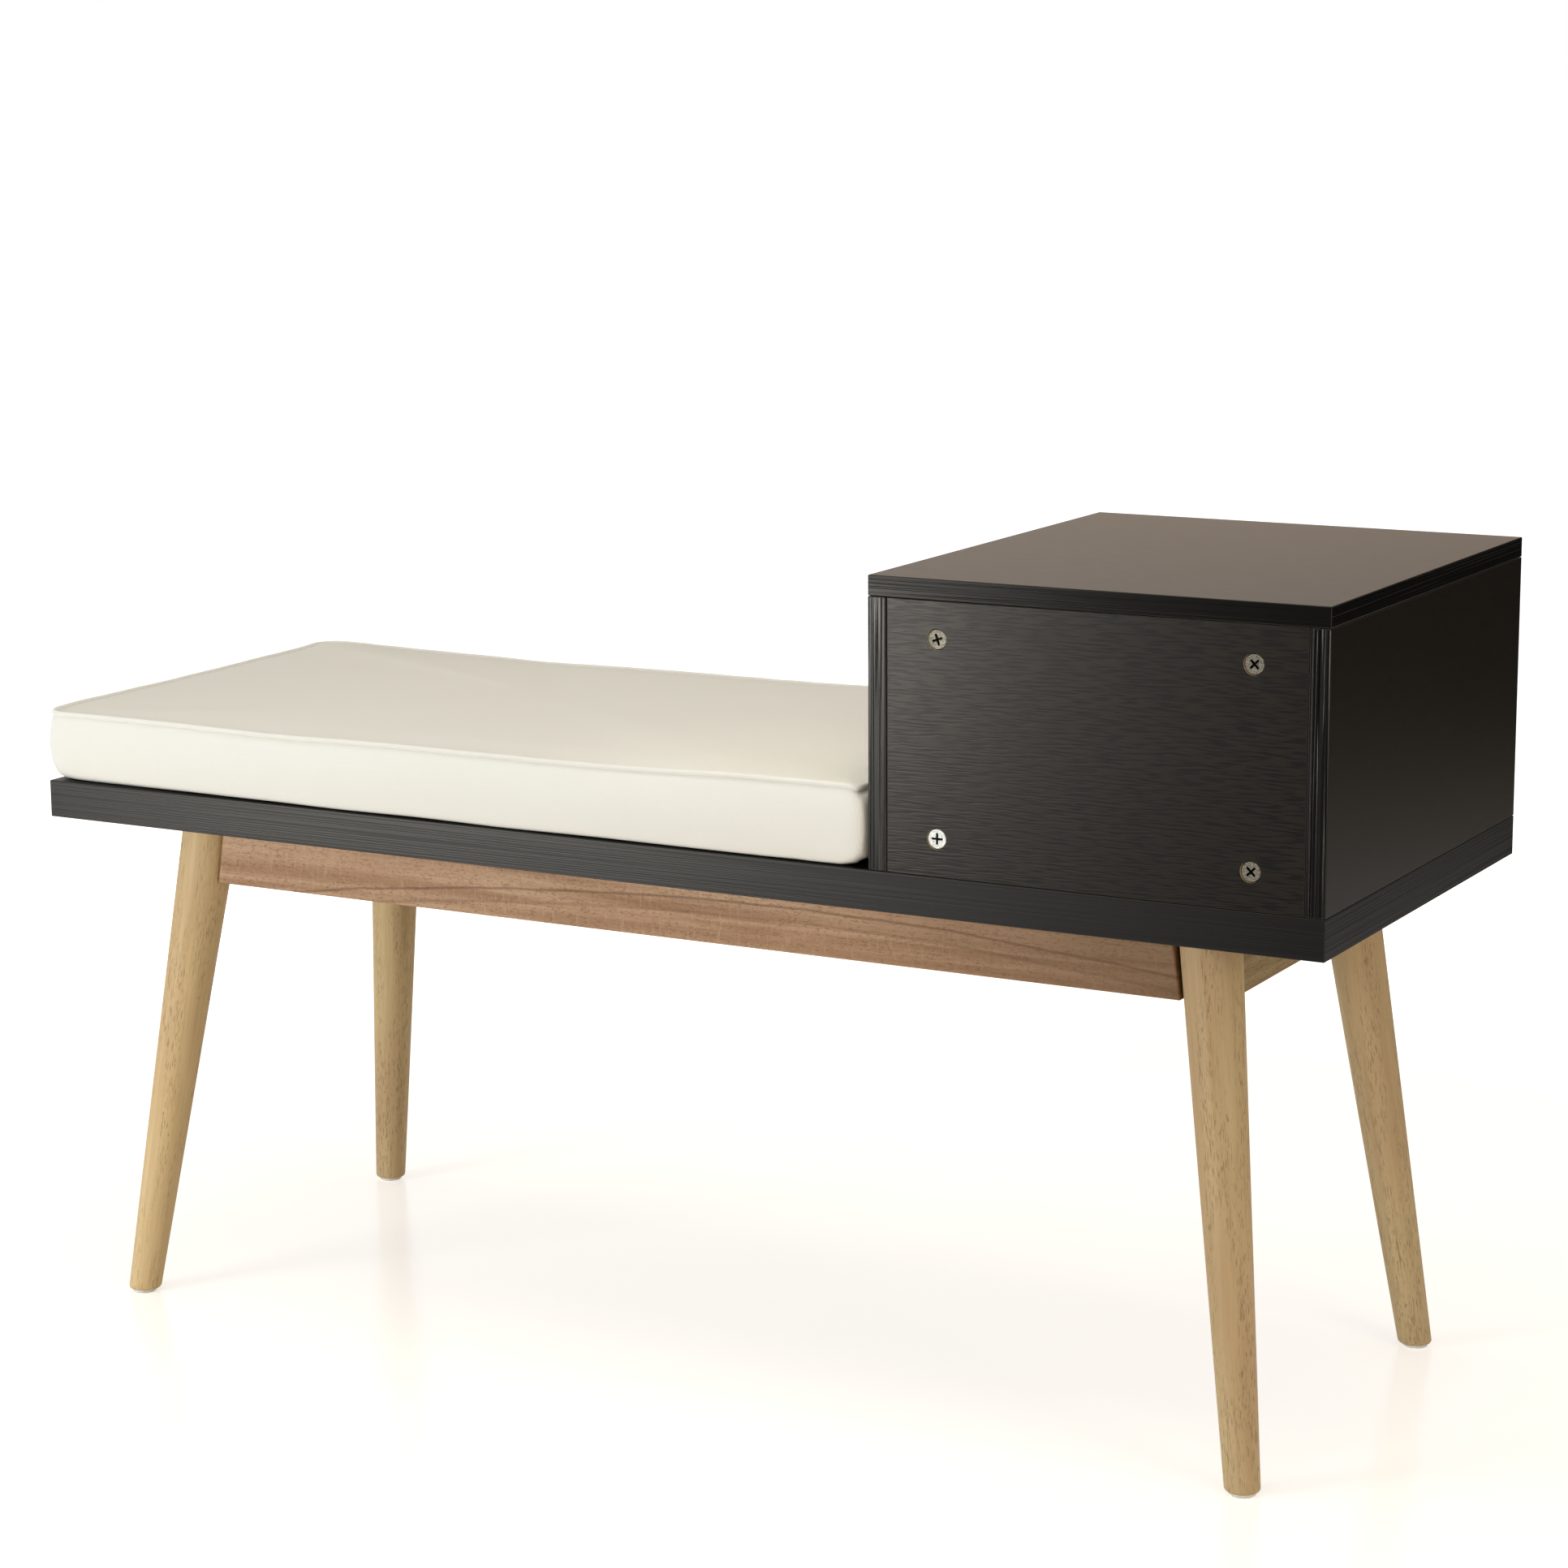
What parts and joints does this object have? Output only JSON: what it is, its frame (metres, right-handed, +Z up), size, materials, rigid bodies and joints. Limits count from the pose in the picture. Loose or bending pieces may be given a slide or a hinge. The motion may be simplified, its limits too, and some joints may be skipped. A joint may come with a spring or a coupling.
{
  "type": "entry bench",
  "caption": "Entry bench: a cushioned wood-grain seat board on splayed, tapered wood legs, with a storage box at one end that holds a sliding drawer.",
  "frame": {"origin": "On the floor, under the middle of the bench.", "axes": "+X runs along the bench from the storage box to the cushion's free end, +Y points to the back, +Z up. The drawer opens towards -Y."},
  "size_m": [1.1, 0.4, 0.645],
  "materials": {
    "black_board": "black wood-grain foil, satin",
    "zinc": "cast zinc, dull",
    "steel": "zinc plated",
    "dowel_beech": "raw beech",
    "leg_oak": "natural oak, matt lacquer",
    "nylon": "white nylon",
    "walnut": "walnut, matt lacquer",
    "runner_steel": "off-white powder coat",
    "drawer_board": "pale foiled board",
    "hardboard": "hardboard",
    "canvas": "cream cotton canvas"
  },
  "bodies": {
    "bench": {"seat_board": "black_board", "box_end_panel": "black_board", "box_inner_panel": "black_board", "box_top_panel": "black_board", "box_back_panel": "black_board", "back_cam_lock_top_left": "zinc", "back_cam_lock_top_right": "zinc", "back_cam_lock_bottom_left": "zinc", "back_cam_lock_bottom_right": "zinc", "back_cam_bolt_top_left": "steel", "back_cam_bolt_top_right": "steel", "back_cam_bolt_bottom_left": "steel", "back_cam_bolt_bottom_right": "steel", "top_dowel_front_left": "dowel_beech", "top_dowel_front_right": "dowel_beech", "top_dowel_back_left": "dowel_beech", "top_dowel_back_right": "dowel_beech", "box_screw_front_left": "steel", "box_screw_front_right": "steel", "box_screw_back_left": "steel", "box_screw_back_right": "steel", "apron_screw_front_left": "steel", "apron_screw_front_right": "steel", "apron_screw_back_left": "steel", "apron_screw_back_right": "steel", "leg_front_left": "leg_oak", "leg_front_right": "leg_oak", "leg_back_left": "leg_oak", "leg_back_right": "leg_oak", "foot_glide_front_left": "nylon", "foot_glide_front_right": "nylon", "foot_glide_back_left": "nylon", "foot_glide_back_right": "nylon", "front_apron": "walnut", "back_apron": "walnut", "box_end_apron": "walnut", "seat_end_apron": "walnut", "corner_bracket_front_left": "steel", "corner_bracket_front_right": "steel", "corner_bracket_back_left": "steel", "corner_bracket_back_right": "steel", "leg_bolt_front_left": "steel", "leg_bolt_front_right": "steel", "leg_bolt_back_left": "steel", "leg_bolt_back_right": "steel", "case_rail_left": "runner_steel", "case_rail_right": "runner_steel", "seat_cushion": "canvas"},
    "drawer": {"drawer_front": "walnut", "drawer_side_left": "drawer_board", "drawer_side_right": "drawer_board", "drawer_back": "drawer_board", "drawer_bottom": "hardboard", "drawer_rail_left": "runner_steel", "drawer_rail_right": "runner_steel"},
    "case_roller_left": {"case_roller_left": "nylon"},
    "case_roller_right": {"case_roller_right": "nylon"},
    "drawer_roller_left": {"drawer_roller_left": "nylon"},
    "drawer_roller_right": {"drawer_roller_right": "nylon"}
  },
  "joints": [
    {"name": "drawer_slide", "type": "slide", "parent": "bench", "child": "drawer", "axis": [0, -1, 0], "range_m": [0, 0.25]},
    {"name": "case_roller_left_turn", "type": "hinge", "parent": "bench", "child": "case_roller_left", "pos_m": [-0.53, -0.169, 0.4567], "axis": [1, 0, 0], "range_deg": [0, 1600]},
    {"name": "case_roller_right_turn", "type": "hinge", "parent": "bench", "child": "case_roller_right", "pos_m": [-0.22, -0.169, 0.4567], "axis": [1, 0, 0], "range_deg": [0, 1600]},
    {"name": "drawer_roller_left_turn", "type": "hinge", "parent": "drawer", "child": "drawer_roller_left", "pos_m": [-0.528, 0.1363, 0.4555], "axis": [1, 0, 0], "range_deg": [0, 1600]},
    {"name": "drawer_roller_right_turn", "type": "hinge", "parent": "drawer", "child": "drawer_roller_right", "pos_m": [-0.222, 0.1363, 0.4555], "axis": [1, 0, 0], "range_deg": [0, 1600]}
  ],
  "couplings": [
    {"joint": "case_roller_left_turn", "follows": "drawer_slide", "rad_per_m": 111.11},
    {"joint": "case_roller_right_turn", "follows": "drawer_slide", "rad_per_m": 111.11},
    {"joint": "drawer_roller_left_turn", "follows": "drawer_slide", "rad_per_m": 111.11},
    {"joint": "drawer_roller_right_turn", "follows": "drawer_slide", "rad_per_m": 111.11}
  ]
}
